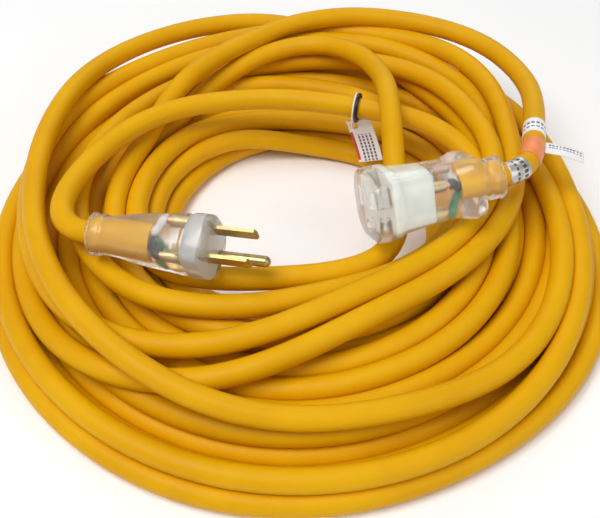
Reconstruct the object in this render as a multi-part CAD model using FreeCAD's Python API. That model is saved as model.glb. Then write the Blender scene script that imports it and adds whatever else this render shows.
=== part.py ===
"""Heavy-duty grounded extension cord, wound into a loose coil that lies flat on the floor.

Frame: millimetres, +Z up, origin on the floor under the middle of the coil.
The plug lies on the front left of the coil and the connector on its right, both over the eye.
A moulding is modelled along +X from its rear at zero, and is then put in its place.
"""
import FreeCAD
import Part
import math
import os

Vector = FreeCAD.Vector

# ---- cord -------------------------------------------------------
CORD_DIAMETER = 10.4
CORD_RADIUS = CORD_DIAMETER / 2

# ---- coil -------------------------------------------------------
COIL_HALF_WIDTH = 144.0         # along X
COIL_HALF_DEPTH = 155.0         # along Y
EYE_HALF_WIDTH = 67.0
EYE_HALF_DEPTH = 57.0
COIL_HEIGHT = 36.0
COIL_OUTER_ROUND = 22.0
COIL_INNER_ROUND = 9.0
COIL_FOOT_ROUND = 4.0
LEAD_GAP = 0.3                  # under a lead that lies on the coil
LEAD_HEIGHT = COIL_HEIGHT + LEAD_GAP + CORD_RADIUS

# ---- standard grounded pin pattern, 15 A 125 V -------------------------------------------------------
BLADE_SPACING = 12.7
GROUND_OFFSET = 11.9            # from the blades' line to the pin
BLADE_WIDTH = 6.35
BLADE_THICKNESS = 1.5
BLADE_LENGTH = 17.5
BLADE_CORNER_CUT = 1.2
BLADE_TIP_CHAMFER = 0.45
GROUND_PIN_DIAMETER = 4.75
GROUND_PIN_LENGTH = 21.4
GROUND_SHOULDER_STEP = 0.4      # the pin is thicker by this all round inside the moulding
PATTERN_RAISE = 3.6             # blade line above the moulding's axis
GROUND_DROP = GROUND_OFFSET - PATTERN_RAISE
GROUND_REACH = GROUND_DROP + GROUND_PIN_DIAMETER / 2

# ---- cores inside the cord -------------------------------------------------------
CORE_DIAMETER = 3.9
CORE_GAP = 0.6                  # between neighbouring cores
CORE_CIRCLE = (CORE_DIAMETER + CORE_GAP) / math.sqrt(3)
CORE_BEARINGS = {"line": 150, "neutral": 30, "ground": 270}
CORE_STRAIGHT_SHARE = 0.3       # of a core's length, straight at each end
COPPER_DIAMETER = 2.3
COPPER_LENGTH = 2.0
CRIMP_DIAMETER = 4.4
CRIMP_LENGTH = 6.0
CRIMP_WALL = 0.7

# ---- plug moulding -------------------------------------------------------
PLUG_YAW = -14.9
PLUG_RISE = 6.0
PLUG_ROLL = 21.0
PLUG_LENGTH = 55.0
PLUG_COLLAR_DIAMETER = CORD_DIAMETER + 2 * 3.6
PLUG_COLLAR_LENGTH = 6.0
PLUG_NECK_DIAMETER = CORD_DIAMETER + 2 * 3.0
PLUG_NECK_LENGTH = 2.0
PLUG_SIDE_WALL = 6.4            # outside the blades
PLUG_LOWER_WALL = 3.3           # under the ground pin
PLUG_FACE_WIDTH = BLADE_SPACING + BLADE_THICKNESS + 2 * PLUG_SIDE_WALL
PLUG_FACE_HEIGHT = 2 * (GROUND_REACH + PLUG_LOWER_WALL)
PLUG_FACE_CORNER = 9.0
PLUG_FACE_ROUND = 3.0
PLUG_SHOULDER_EASE = 2.0        # length of the slope behind the face block
PLUG_FACE_SKIN = 4.0            # clear plastic in front of the bridge
PLUG_BRIDGE_LENGTH = 7.0
PLUG_BRIDGE_WALL = 3.15         # outside the blades
PLUG_BRIDGE_WIDTH = BLADE_SPACING + BLADE_THICKNESS + 2 * PLUG_BRIDGE_WALL
PLUG_BRIDGE_HEIGHT = 2 * GROUND_REACH - 1.35
PLUG_BRIDGE_CORNER = 3.0
PLUG_BRIDGE_START = PLUG_LENGTH - PLUG_FACE_SKIN - PLUG_BRIDGE_LENGTH
PLUG_STRIP_LENGTH = 2.0         # of blade between crimp and bridge
PLUG_CRIMP_START = PLUG_BRIDGE_START - PLUG_STRIP_LENGTH - CRIMP_LENGTH
PLUG_CORE_SPAN = 8.0            # from the jacket's cut end to the crimps
PLUG_JACKET_DEPTH = PLUG_CRIMP_START - PLUG_CORE_SPAN
PLUG_FACE_GAP = 2.574           # from the top of the coil up to the face's lower edge, unrolled
PLUG_LIFT = PLUG_FACE_GAP + PLUG_FACE_HEIGHT / 2 - PLUG_LENGTH * math.sin(math.radians(PLUG_RISE))
PLUG_PLACE = Vector(-87.0, -48.2, COIL_HEIGHT + PLUG_LIFT)

# ---- connector moulding -------------------------------------------------------
CONNECTOR_LIFT = 18.6
CONNECTOR_PLACE = Vector(86.6, -20.7, COIL_HEIGHT + CONNECTOR_LIFT)
CONNECTOR_YAW = 196.9
CONNECTOR_RISE = -1.0
CONNECTOR_ROLL = 28.0
CONNECTOR_LENGTH = 61.0
CONNECTOR_COLLAR_DIAMETER = CORD_DIAMETER + 2 * 4.1
CONNECTOR_COLLAR_LENGTH = 6.5
CONNECTOR_NECK_DIAMETER = CORD_DIAMETER + 2 * 3.3
CONNECTOR_NECK_LENGTH = 1.5
SLOT_CLEARANCE = 0.5            # all round a blade in its slot
NEUTRAL_SLOT_EXTRA = 1.6        # the neutral slot is taller
SLOT_WIDTH = BLADE_THICKNESS + 2 * SLOT_CLEARANCE
GROUND_BORE_CLEARANCE = 0.15    # on the diameter
GROUND_BORE_DIAMETER = GROUND_PIN_DIAMETER + GROUND_BORE_CLEARANCE
CONNECTOR_SIDE_WALL = 8.65      # outside the slots
CONNECTOR_LOWER_WALL = 4.8      # under the ground bore
CONNECTOR_FACE_WIDTH = BLADE_SPACING + SLOT_WIDTH + 2 * CONNECTOR_SIDE_WALL
CONNECTOR_FACE_HEIGHT = 2 * (GROUND_REACH + CONNECTOR_LOWER_WALL)
CONNECTOR_FACE_CORNER = 11.0
CONNECTOR_FACE_ROUND = 2.0
CONNECTOR_RIM_LENGTH = 10.0
CONNECTOR_RIM_EASE = 2.0
CONNECTOR_RIM_STEP = 1.4        # all round, from the waist's end up to the rim
CONNECTOR_WING_START = 11.0
CONNECTOR_WING_EASE = 1.5
CONNECTOR_WING_LENGTH = 5.0
CONNECTOR_WING_WIDTH = CONNECTOR_FACE_WIDTH - 3.5
CONNECTOR_WING_HEIGHT = CONNECTOR_FACE_HEIGHT - 5.0
CONNECTOR_WING_CORNER = 9.5
CONNECTOR_WAIST_EASE = 6.0
CONNECTOR_WAIST_WIDTH = CONNECTOR_FACE_WIDTH - 8.0
CONNECTOR_WAIST_HEIGHT = CONNECTOR_FACE_HEIGHT - 7.0
CONNECTOR_WAIST_CORNER = 8.0
CONNECTOR_FACE_SKIN = 8.0       # clear plastic in front of the carrier
CONTACT_WALL = 0.8
CONTACT_GRIP = 0.02             # gap left between a contact leaf and the blade
CONTACT_GAP = BLADE_THICKNESS + 2 * CONTACT_GRIP
CONTACT_WIDTH = CONTACT_GAP + 2 * CONTACT_WALL
PIN_END_CLEARANCE = 0.8         # between a seated ground pin and the bottom of its bore
BORE_DEPTH = GROUND_PIN_LENGTH + PIN_END_CLEARANCE
CONTACT_LENGTH = BORE_DEPTH + CONTACT_WALL - CONNECTOR_FACE_SKIN
CONTACT_START = CONNECTOR_LENGTH - CONNECTOR_FACE_SKIN - CONTACT_LENGTH
CONTACT_TAIL_LENGTH = 4.0
CONTACT_TAIL_DIAMETER = 0.8 * CRIMP_DIAMETER
CONTACT_TAIL_THICKNESS = 0.8 * CONTACT_WIDTH
TAIL_OVERLAP = 0.1              # sunk into the contact's root, which it is one piece with
CARRIER_LENGTH = CONTACT_LENGTH + CONTACT_TAIL_LENGTH
CARRIER_WALL = 3.08             # outside the contacts
CARRIER_WIDTH = BLADE_SPACING + CONTACT_WIDTH + 2 * CARRIER_WALL
CARRIER_HEIGHT = 2 * GROUND_REACH
CARRIER_CORNER = 2.0
CONNECTOR_CRIMP_START = CONTACT_START - CONTACT_TAIL_LENGTH - CRIMP_LENGTH
CONNECTOR_CORE_SPAN = 9.0       # from the jacket's cut end to the crimps
CONNECTOR_JACKET_DEPTH = CONNECTOR_CRIMP_START - CONNECTOR_CORE_SPAN

# ---- both mouldings -------------------------------------------------------
EDGE_EASE = 1.0                 # how far a moulded edge is rounded off
ROUND_MARGIN = 0.3              # a nearly round section's flats are twice this long

# ---- indicator lamp -------------------------------------------------------
LAMP_DIAMETER = 4.0
LAMP_LENGTH = 8.0
LAMP_GAP = 0.6                  # between the crimps and the lamp
LAMP_SIDE = 2.7                 # from the axis, towards the line contact
LAMP_LEAD_PITCH = 2.0
LAMP_LEAD_DIAMETER = 0.6
LAMP_LEAD_BEND = 1.4
RESISTOR_DIAMETER = 2.4
RESISTOR_LENGTH = 6.0
RESISTOR_SIDE = 3.2             # from the axis, towards the neutral contact
RESISTOR_SETBACK = 0.5          # behind the lamp's base

# ---- labels, tie and tag -------------------------------------------------------
LABEL_THICKNESS = 0.25
WRAP_LABELS = {                 # arc length from the connector's rear, and length
    "silver_label": (5.0, 11.0),
    "orange_label": (20.5, 15.0),
    "white_label": (41.5, 14.0),
}
FLAG_START = 31.5
FLAG_WIDTH = 9.5
FLAG_REACH = 19.0               # past the cord's surface
FLAG_THICKNESS = 0.4
FLAG_DROOP = 12.0
TIE_WIRE_DIAMETER = 1.5
TIE_CLEARANCE = 0.7             # between tie and cord
TIE_DROP = 5.0                  # between the centres of the loop's two rounds
TAG_WIDTH = 13.0
TAG_LENGTH = 28.0
TAG_THICKNESS = 0.5
TAG_HOLE_DIAMETER = 4.2
TAG_HOLE_EDGE = 3.4             # from the tag's top edge, and from its left edge, to its hole
TAG_TILT = 9.0                  # the tag's lower end leans away from its holed corner

# ---- routes of the two free leads, from each moulding's rear to where the lead joins the coil ---
# A lead first leaves straight along its moulding's axis, for the length of its exit run.
# A point is X, Y and the cord's lift over its resting height on top of the coil.
ARC_SHARE = 0.45                # of the shorter run beside a point, taken up by the point's arc
PLUG_EXIT_RUN = 7.2
CONNECTOR_EXIT_RUN = 6.0
PLUG_LEAD_ROUTE = [
    (-101.0, -40.3, 3.7),
    (-105.2, -31.0, 2.7),
    (-105.6, -18.5, 1.5),
    (-102.6, -3.0, 0.0),
    (-94.0, 15.5, 0.0),
    (-79.8, 34.5, 0.0),
    (-59.7, 48.0, 0.0),
    (-34.0, 53.8, 0.0),
    (-9.0, 53.4, 1.1),
    (14.5, 48.8, 1.9),
    (43.5, 41.2, 1.5),
    (62.0, 37.0, -1.0),
    (77.0, 28.0, -5.5),
    (88.0, 15.0, -11.5),
]
TIE_RUN = 11                    # the tie hangs halfway along the run after this point
CONNECTOR_LEAD_ROUTE = [
    (98.2, -14.9, 12.7),
    (103.3, -8.1, 11.7),
    (106.9, 1.2, 10.1),
    (109.9, 12.6, 8.3),
    (113.2, 27.0, 6.1),
    (116.6, 44.0, 3.9),
    (118.2, 63.5, 1.5),
    (113.6, 84.6, 0.0),
    (102.2, 104.4, 0.0),
    (83.5, 119.8, 0.0),
    (57.0, 130.8, 0.0),
    (26.0, 134.9, 0.0),
    (-4.0, 126.5, 0.0),
    (-24.0, 111.5, 0.0),
    (-43.0, 95.0, 0.0),
    (-59.0, 76.0, -0.7),
    (-69.5, 57.0, -5.3),
    (-77.5, 39.5, -12.9),
]

PLANE_TOLERANCE = 1e-4
AXIS = Vector(1, 0, 0)


# ---- paths -------------------------------------------------------
def turn_radius(before, corner, after):
    """Radius of the arc that rounds one point of a route, and the length it takes from each run."""
    come = corner - before
    go = after - corner
    half_turn = come.getAngle(go) / 2
    setback = ARC_SHARE * min(come.Length, go.Length)
    return setback / math.tan(half_turn), setback


def route_edges(points):
    """Straight runs joined by tangent arcs."""
    edges = []
    last = points[0]
    for before, corner, after in zip(points, points[1:], points[2:]):
        radius, setback = turn_radius(before, corner, after)
        start = corner + (before - corner).normalize() * setback
        end = corner + (after - corner).normalize() * setback
        half_turn = (corner - before).getAngle(after - corner) / 2
        inward = ((start - corner) + (end - corner)).normalize()
        middle = corner + inward * (radius / math.cos(half_turn) - radius)
        edges.append(Part.LineSegment(last, start).toShape())
        edges.append(Part.Arc(start, middle, end).toShape())
        last = end
    edges.append(Part.LineSegment(last, points[-1]).toShape())
    return edges


def lead_points(origin, axis, exit_run, route):
    points = [Vector(x, y, LEAD_HEIGHT + lift) for x, y, lift in route]
    return [origin, origin - axis * exit_run] + points


def sweep(edges, radius):
    first = edges[0]
    start = first.valueAt(first.FirstParameter)
    direction = first.tangentAt(first.FirstParameter)
    disc = Part.Wire(Part.Circle(start, direction, radius).toShape())
    return Part.Wire(edges).makePipeShell([disc], True, False)


def tube(points, radius):
    return sweep(route_edges(points), radius)


def stretch(edges, start, length):
    """The part of a route between two arc lengths."""
    kept = []
    passed = 0.0
    for edge in edges:
        low = max(start - passed, 0.0)
        high = min(start + length - passed, edge.Length)
        if high - low > PLANE_TOLERANCE:
            first = edge.getParameterByLength(low)
            last = edge.getParameterByLength(high)
            kept.append(edge.Curve.toShape(first, last))
        passed += edge.Length
    return kept


# ---- solids -------------------------------------------------------
def section(station, width, height, corner):
    """Rounded rectangle across the moulding's axis, as one closed wire."""
    sides = ((1, 1), (-1, 1), (-1, -1), (1, -1))
    arcs = []
    for quarter, (side_y, side_z) in enumerate(sides):
        centre = Vector(station, side_y * (width / 2 - corner), side_z * (height / 2 - corner))
        points = []
        for angle in (0, 45, 90):
            turned = math.radians(90 * quarter + angle)
            points.append(centre + Vector(0, math.cos(turned), math.sin(turned)) * corner)
        arcs.append(points)
    edges = []
    for arc, following in zip(arcs, arcs[1:] + arcs[:1]):
        edges.append(Part.Arc(*arc).toShape())
        edges.append(Part.LineSegment(arc[-1], following[0]).toShape())
    return Part.Wire(edges)


def loft(stations):
    """Straight-sided moulding through (station, width, height, corner) sections."""
    wires = [section(*values) for values in stations]
    return Part.makeLoft(wires, True, True)


def round_section(station, diameter):
    return station, diameter, diameter, diameter / 2 - ROUND_MARGIN


def collar_sections(diameter, length, neck_diameter, neck_length):
    """Rear collar with an eased end, and the neck in front of it."""
    return [
        round_section(0.0, diameter - 2 * EDGE_EASE),
        round_section(EDGE_EASE, diameter),
        round_section(length - EDGE_EASE, diameter),
        round_section(length, neck_diameter),
        round_section(length + neck_length, neck_diameter),
    ]


def rod(start, end, diameter):
    return Part.makeCylinder(diameter / 2, (end - start).Length, start, end - start)


def rod_along(position, start, end, diameter):
    """Rod along the moulding's axis, at a place across it."""
    return rod(AXIS * start + position, AXIS * end + position, diameter)


def block(start, end, position, width, height):
    corner = Vector(start, position.y - width / 2, position.z - height / 2)
    return Part.makeBox(end - start, width, height, corner)


def edges_at(shape, axis, value):
    """Edges that lie wholly in the plane where X or Z has one value."""
    found = []
    for edge in shape.Edges:
        box = edge.BoundBox
        low = getattr(box, axis + "Min")
        high = getattr(box, axis + "Max")
        if max(abs(low - value), abs(high - value)) < PLANE_TOLERANCE:
            found.append(edge)
    return found


def cut_all(shape, tools):
    for tool in tools:
        shape = shape.cut(tool)
    return shape


def moulding_placement(place, yaw, rise, roll):
    return FreeCAD.Placement(place, FreeCAD.Rotation(yaw, -rise, roll))


def put_in_place(parts, placement):
    placed = {}
    for name, shape in parts.items():
        copy = shape.copy()
        copy.Placement = placement.multiply(copy.Placement)
        placed[name] = copy
    return placed


# ---- coil -------------------------------------------------------
def elliptic_disc(half_width, half_depth):
    side, end = Vector(half_width, 0, 0), Vector(0, half_depth, 0)
    longer, shorter = (side, end) if half_width > half_depth else (end, -side)
    ellipse = Part.Ellipse(longer, shorter, Vector(0, 0, 0))
    return Part.Face(Part.Wire(ellipse.toShape())).extrude(Vector(0, 0, COIL_HEIGHT))


def round_eye(ring, level, radius):
    """Round the eye's edge at one level, which is the shortest of the edges there."""
    edges = sorted(edges_at(ring, "Z", level), key=lambda edge: edge.Length)
    return ring.makeFillet(radius, edges[:1])


def make_coil():
    outside = elliptic_disc(COIL_HALF_WIDTH, COIL_HALF_DEPTH)
    outside = outside.makeFillet(COIL_OUTER_ROUND, edges_at(outside, "Z", COIL_HEIGHT))
    outside = outside.makeFillet(COIL_FOOT_ROUND, edges_at(outside, "Z", 0.0))
    ring = outside.cut(elliptic_disc(EYE_HALF_WIDTH, EYE_HALF_DEPTH))
    ring = round_eye(ring, COIL_HEIGHT, COIL_INNER_ROUND)
    return round_eye(ring, 0.0, COIL_FOOT_ROUND)


# ---- cores, crimps and copper -------------------------------------------------------
def pattern(line_side):
    """Places of line, neutral and ground across the axis, with the line blade on one side."""
    half = BLADE_SPACING / 2
    return {
        "line": Vector(0, line_side * half, PATTERN_RAISE),
        "neutral": Vector(0, -line_side * half, PATTERN_RAISE),
        "ground": Vector(0, 0, -GROUND_DROP),
    }


def make_core(name, line_side, target, start, end):
    """A core from the jacket's end to its crimp, leaving and arriving along the axis."""
    angle = math.radians(CORE_BEARINGS[name])
    leave = Vector(start, -line_side * CORE_CIRCLE * math.cos(angle), CORE_CIRCLE * math.sin(angle))
    arrive = AXIS * end + target
    straight = AXIS * ((end - start) * CORE_STRAIGHT_SHARE)
    return tube([leave, leave + straight, arrive - straight, arrive], CORE_DIAMETER / 2)


def make_cores(prefix, line_side, jacket_end, crimp_start):
    """The three cores, and the bare copper between each one's insulation and its crimp's bottom."""
    insulation_end = crimp_start - COPPER_LENGTH
    copper_end = crimp_start + CRIMP_LENGTH - CRIMP_WALL
    parts = {}
    copper = []
    for name, place in pattern(line_side).items():
        core = make_core(name, line_side, place, jacket_end, insulation_end)
        parts[prefix + name + "_core"] = core
        copper.append(rod_along(place, insulation_end, copper_end, COPPER_DIAMETER))
    parts[prefix + "copper_ends"] = Part.makeCompound(copper)
    return parts


def crimp(position, start):
    """Barrel round the copper, closed in front where the strip begins."""
    barrel = rod_along(position, start, start + CRIMP_LENGTH, CRIMP_DIAMETER)
    return barrel.cut(rod_along(position, start, start + CRIMP_LENGTH - CRIMP_WALL, COPPER_DIAMETER))


# ---- plug -------------------------------------------------------
def make_blade(position):
    start = PLUG_CRIMP_START + CRIMP_LENGTH - CRIMP_WALL
    end = PLUG_LENGTH + BLADE_LENGTH
    strip = block(start, end, position, BLADE_THICKNESS, BLADE_WIDTH)
    corners = [edge for edge in edges_at(strip, "X", end) if edge.Length < BLADE_WIDTH / 2]
    strip = strip.makeChamfer(BLADE_CORNER_CUT, corners)
    sides = [edge for edge in edges_at(strip, "X", end) if edge.Length > BLADE_THICKNESS * 1.1]
    strip = strip.makeChamfer(BLADE_TIP_CHAMFER, sides)
    return strip.fuse(crimp(position, PLUG_CRIMP_START)).removeSplitter()


def make_ground_pin(position):
    """Round pin with a round tip, whose shoulder ends flush with the plug's face."""
    shoulder_start = PLUG_CRIMP_START + CRIMP_LENGTH - CRIMP_WALL
    shoulder_diameter = GROUND_PIN_DIAMETER + 2 * GROUND_SHOULDER_STEP
    radius = GROUND_PIN_DIAMETER / 2
    tip_centre = PLUG_LENGTH + GROUND_PIN_LENGTH - radius
    shoulder = rod_along(position, shoulder_start, PLUG_LENGTH, shoulder_diameter)
    pin = rod_along(position, PLUG_LENGTH, tip_centre, GROUND_PIN_DIAMETER)
    tip = Part.makeSphere(radius, AXIS * tip_centre + position)
    return shoulder.fuse([pin, tip, crimp(position, PLUG_CRIMP_START)]).removeSplitter()


def make_bridge(pins):
    """Pale inner block that spaces the two blades and the pin."""
    size = (PLUG_BRIDGE_WIDTH, PLUG_BRIDGE_HEIGHT, PLUG_BRIDGE_CORNER)
    end = PLUG_BRIDGE_START + PLUG_BRIDGE_LENGTH
    return cut_all(loft([(PLUG_BRIDGE_START, *size), (end, *size)]), pins)


def plug_outside():
    face = (PLUG_FACE_WIDTH, PLUG_FACE_HEIGHT, PLUG_FACE_CORNER)
    eased_face = (PLUG_FACE_WIDTH - EDGE_EASE, PLUG_FACE_HEIGHT - EDGE_EASE,
                  PLUG_FACE_CORNER - EDGE_EASE / 2)
    stations = collar_sections(PLUG_COLLAR_DIAMETER, PLUG_COLLAR_LENGTH, PLUG_NECK_DIAMETER,
                               PLUG_NECK_LENGTH)
    stations += [
        (PLUG_BRIDGE_START, *eased_face),
        (PLUG_BRIDGE_START + PLUG_SHOULDER_EASE, *face),
        (PLUG_LENGTH, *face),
    ]
    shell = loft(stations)
    return shell.makeFillet(PLUG_FACE_ROUND, edges_at(shell, "X", PLUG_LENGTH))


def make_plug():
    line_side = -1
    places = pattern(line_side)
    parts = {
        "line_blade": make_blade(places["line"]),
        "neutral_blade": make_blade(places["neutral"]),
        "ground_pin": make_ground_pin(places["ground"]),
    }
    parts["plug_bridge"] = make_bridge(list(parts.values()))
    parts["plug_jacket_end"] = rod(Vector(0, 0, 0), AXIS * PLUG_JACKET_DEPTH, CORD_DIAMETER)
    parts.update(make_cores("plug_", line_side, PLUG_JACKET_DEPTH, PLUG_CRIMP_START))
    parts["plug_body"] = cut_all(plug_outside(), parts.values())
    placement = moulding_placement(PLUG_PLACE, PLUG_YAW, PLUG_RISE, PLUG_ROLL)
    return put_in_place(parts, placement)


# ---- connector -------------------------------------------------------
def make_blade_contact(position):
    """Two flat leaves with the blade's room between them, joined behind, on a tail to the crimp."""
    strip = block(CONTACT_START, CONTACT_START + CONTACT_LENGTH, position, CONTACT_WIDTH, BLADE_WIDTH)
    room = block(CONTACT_START + CONTACT_WALL, CONNECTOR_LENGTH, position, CONTACT_GAP,
                 2 * BLADE_WIDTH)
    tail_start = CONTACT_START - CONTACT_TAIL_LENGTH - CRIMP_WALL
    tail = block(tail_start, CONTACT_START + TAIL_OVERLAP, position, CONTACT_TAIL_THICKNESS,
                 CONTACT_TAIL_DIAMETER)
    pieces = [tail, crimp(position, CONNECTOR_CRIMP_START)]
    return strip.cut(room).fuse(pieces).removeSplitter()


def make_ground_contact(position):
    """Barrel whose bore goes on from the moulding's, on a tail to the crimp."""
    barrel = rod_along(position, CONTACT_START, CONTACT_START + CONTACT_LENGTH,
                       GROUND_BORE_DIAMETER + 2 * CONTACT_WALL)
    bore = rod_along(position, CONTACT_START + CONTACT_WALL, CONNECTOR_LENGTH, GROUND_BORE_DIAMETER)
    tail_start = CONTACT_START - CONTACT_TAIL_LENGTH - CRIMP_WALL
    tail = rod_along(position, tail_start, CONTACT_START + TAIL_OVERLAP, CONTACT_TAIL_DIAMETER)
    pieces = [tail, crimp(position, CONNECTOR_CRIMP_START)]
    return barrel.cut(bore).fuse(pieces).removeSplitter()


def socket_openings(places):
    """The two slots and the bore, cut from the face through to the contacts' bottoms."""
    start = CONNECTOR_LENGTH - BORE_DEPTH
    height = BLADE_WIDTH + 2 * SLOT_CLEARANCE
    return [
        block(start, CONNECTOR_LENGTH, places["line"], SLOT_WIDTH, height),
        block(start, CONNECTOR_LENGTH, places["neutral"], SLOT_WIDTH, height + NEUTRAL_SLOT_EXTRA),
        rod_along(places["ground"], start, CONNECTOR_LENGTH, GROUND_BORE_DIAMETER),
    ]


def connector_outside():
    wing_end = CONNECTOR_WING_START + CONNECTOR_WING_LENGTH
    rim_start = CONNECTOR_LENGTH - CONNECTOR_RIM_LENGTH
    face = (CONNECTOR_FACE_WIDTH, CONNECTOR_FACE_HEIGHT, CONNECTOR_FACE_CORNER)
    stations = collar_sections(CONNECTOR_COLLAR_DIAMETER, CONNECTOR_COLLAR_LENGTH,
                               CONNECTOR_NECK_DIAMETER, CONNECTOR_NECK_LENGTH)
    stations += [
        (CONNECTOR_WING_START, CONNECTOR_WING_WIDTH - EDGE_EASE, CONNECTOR_WING_HEIGHT - EDGE_EASE,
         CONNECTOR_WING_CORNER - EDGE_EASE / 2),
        (CONNECTOR_WING_START + CONNECTOR_WING_EASE, CONNECTOR_WING_WIDTH, CONNECTOR_WING_HEIGHT,
         CONNECTOR_WING_CORNER),
        (wing_end, CONNECTOR_WAIST_WIDTH + EDGE_EASE, CONNECTOR_WAIST_HEIGHT + EDGE_EASE,
         CONNECTOR_WAIST_CORNER),
        (wing_end + CONNECTOR_WAIST_EASE, CONNECTOR_WAIST_WIDTH, CONNECTOR_WAIST_HEIGHT,
         CONNECTOR_WAIST_CORNER),
        (rim_start - CONNECTOR_RIM_EASE, CONNECTOR_FACE_WIDTH - 2 * CONNECTOR_RIM_STEP,
         CONNECTOR_FACE_HEIGHT - 2 * CONNECTOR_RIM_STEP, CONNECTOR_FACE_CORNER - EDGE_EASE),
        (rim_start, *face),
        (CONNECTOR_LENGTH, *face),
    ]
    shell = loft(stations)
    return shell.makeFillet(CONNECTOR_FACE_ROUND, edges_at(shell, "X", CONNECTOR_LENGTH))


def make_carrier(openings, contacts):
    """Pale block behind the clear face that holds the three contacts."""
    size = (CARRIER_WIDTH, CARRIER_HEIGHT, CARRIER_CORNER)
    end = CONNECTOR_LENGTH - CONNECTOR_FACE_SKIN
    return cut_all(loft([(end - CARRIER_LENGTH, *size), (end, *size)]), openings + contacts)


def make_lamp():
    """Indicator lamp over the crimps with its domed end to the rear, and the resistor beside it."""
    height = PATTERN_RAISE + CRIMP_DIAMETER / 2 + LAMP_GAP + LAMP_DIAMETER / 2
    base = CONNECTOR_CRIMP_START + CRIMP_LENGTH / 2
    radius = LAMP_DIAMETER / 2
    dome_centre = base - LAMP_LENGTH + radius
    lamp_place = Vector(0, LAMP_SIDE, height)
    glass = rod_along(lamp_place, dome_centre, base, LAMP_DIAMETER)
    lamp = glass.fuse(Part.makeSphere(radius, AXIS * dome_centre + lamp_place)).removeSplitter()
    resistor_end = base - RESISTOR_SETBACK
    resistor_place = Vector(0, -RESISTOR_SIDE, height)
    resistor = rod_along(resistor_place, resistor_end - RESISTOR_LENGTH, resistor_end,
                         RESISTOR_DIAMETER)
    return lamp, resistor, lamp_lead_routes(base, resistor_end, height)


def lamp_lead_routes(base, resistor_end, height):
    """Lamp to line crimp, lamp to resistor, and resistor to neutral crimp."""
    half_spacing = BLADE_SPACING / 2
    half_pitch = LAMP_LEAD_PITCH / 2
    bend = LAMP_LEAD_BEND
    on_crimp = PATTERN_RAISE + CRIMP_DIAMETER / 2 - LAMP_LEAD_DIAMETER / 2
    half_down = (height + on_crimp) / 2
    line_lead = [
        Vector(base, LAMP_SIDE + half_pitch, height),
        Vector(base + bend, LAMP_SIDE + 1.1 * half_pitch, height),
        Vector(base + 1.4 * bend, half_spacing, half_down + bend / 2),
        Vector(base + 1.2 * bend, half_spacing + LAMP_LEAD_DIAMETER / 4, on_crimp),
    ]
    bridge_lead = [
        Vector(base, LAMP_SIDE - half_pitch, height),
        Vector(base + bend, LAMP_SIDE - 1.3 * half_pitch, height),
        Vector(base + 0.9 * bend, 0.2 * half_pitch - RESISTOR_SIDE, height + 0.1 * half_pitch),
        Vector(resistor_end, -RESISTOR_SIDE, height),
    ]
    resistor_start = resistor_end - RESISTOR_LENGTH
    neutral_side = half_spacing + half_pitch - LAMP_LEAD_DIAMETER / 4
    neutral_lead = [
        Vector(resistor_start, -RESISTOR_SIDE, height),
        Vector(resistor_start - bend, -RESISTOR_SIDE - 0.1 * half_pitch, height),
        Vector(resistor_start - bend, -neutral_side, half_down),
        Vector(CONNECTOR_CRIMP_START + LAMP_LEAD_DIAMETER, -neutral_side, on_crimp),
    ]
    return [line_lead, bridge_lead, neutral_lead]


def make_connector():
    line_side = 1
    places = pattern(line_side)
    parts = {
        "line_contact": make_blade_contact(places["line"]),
        "neutral_contact": make_blade_contact(places["neutral"]),
        "ground_contact": make_ground_contact(places["ground"]),
    }
    contacts = list(parts.values())
    openings = socket_openings(places)
    parts["contact_carrier"] = make_carrier(openings, contacts)
    parts["connector_jacket_end"] = rod(Vector(0, 0, 0), AXIS * CONNECTOR_JACKET_DEPTH, CORD_DIAMETER)
    parts.update(make_cores("connector_", line_side, CONNECTOR_JACKET_DEPTH, CONNECTOR_CRIMP_START))
    lamp, resistor, lead_routes = make_lamp()
    parts["indicator_lamp"] = lamp
    parts["lamp_resistor"] = resistor
    joined_to = contacts + [lamp, resistor]
    leads = [cut_all(tube(route, LAMP_LEAD_DIAMETER / 2), joined_to) for route in lead_routes]
    parts["lamp_leads"] = Part.makeCompound(leads)
    parts["connector_body"] = cut_all(connector_outside(), list(parts.values()) + openings)
    placement = moulding_placement(CONNECTOR_PLACE, CONNECTOR_YAW, CONNECTOR_RISE, CONNECTOR_ROLL)
    return put_in_place(parts, placement)


# ---- labels, tie and tag -------------------------------------------------------
def make_labels(edges):
    """Three wrap labels on the connector's lead."""
    labels = {}
    for name, (start, length) in WRAP_LABELS.items():
        path = stretch(edges, start, length)
        labels[name] = sweep(path, CORD_RADIUS + LABEL_THICKNESS).cut(sweep(path, CORD_RADIUS))
    return labels


def make_card(corner, along, down, thickness):
    outline = [corner, corner + along, corner + along + down, corner + down, corner]
    return Part.Face(Part.makePolygon(outline)).extrude(thickness)


def make_flag(edges):
    """Flag label, stuck on over the orange wrap and standing out away from the coil's eye."""
    middle = stretch(edges, FLAG_START, FLAG_WIDTH / 2)[-1]
    centre = middle.valueAt(middle.LastParameter)
    along = middle.tangentAt(middle.LastParameter).normalize()
    level = along.cross(Vector(0, 0, 1)).normalize()
    droop = FreeCAD.Rotation(along, FLAG_DROOP)
    outward = droop.multVec(level)
    upward = droop.multVec(level.cross(along).normalize())
    corner = centre + outward * (CORD_RADIUS + LABEL_THICKNESS)
    corner -= along * (FLAG_WIDTH / 2) + upward * (FLAG_THICKNESS / 2)
    return make_card(corner, along * FLAG_WIDTH, outward * FLAG_REACH, upward * FLAG_THICKNESS)


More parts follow.
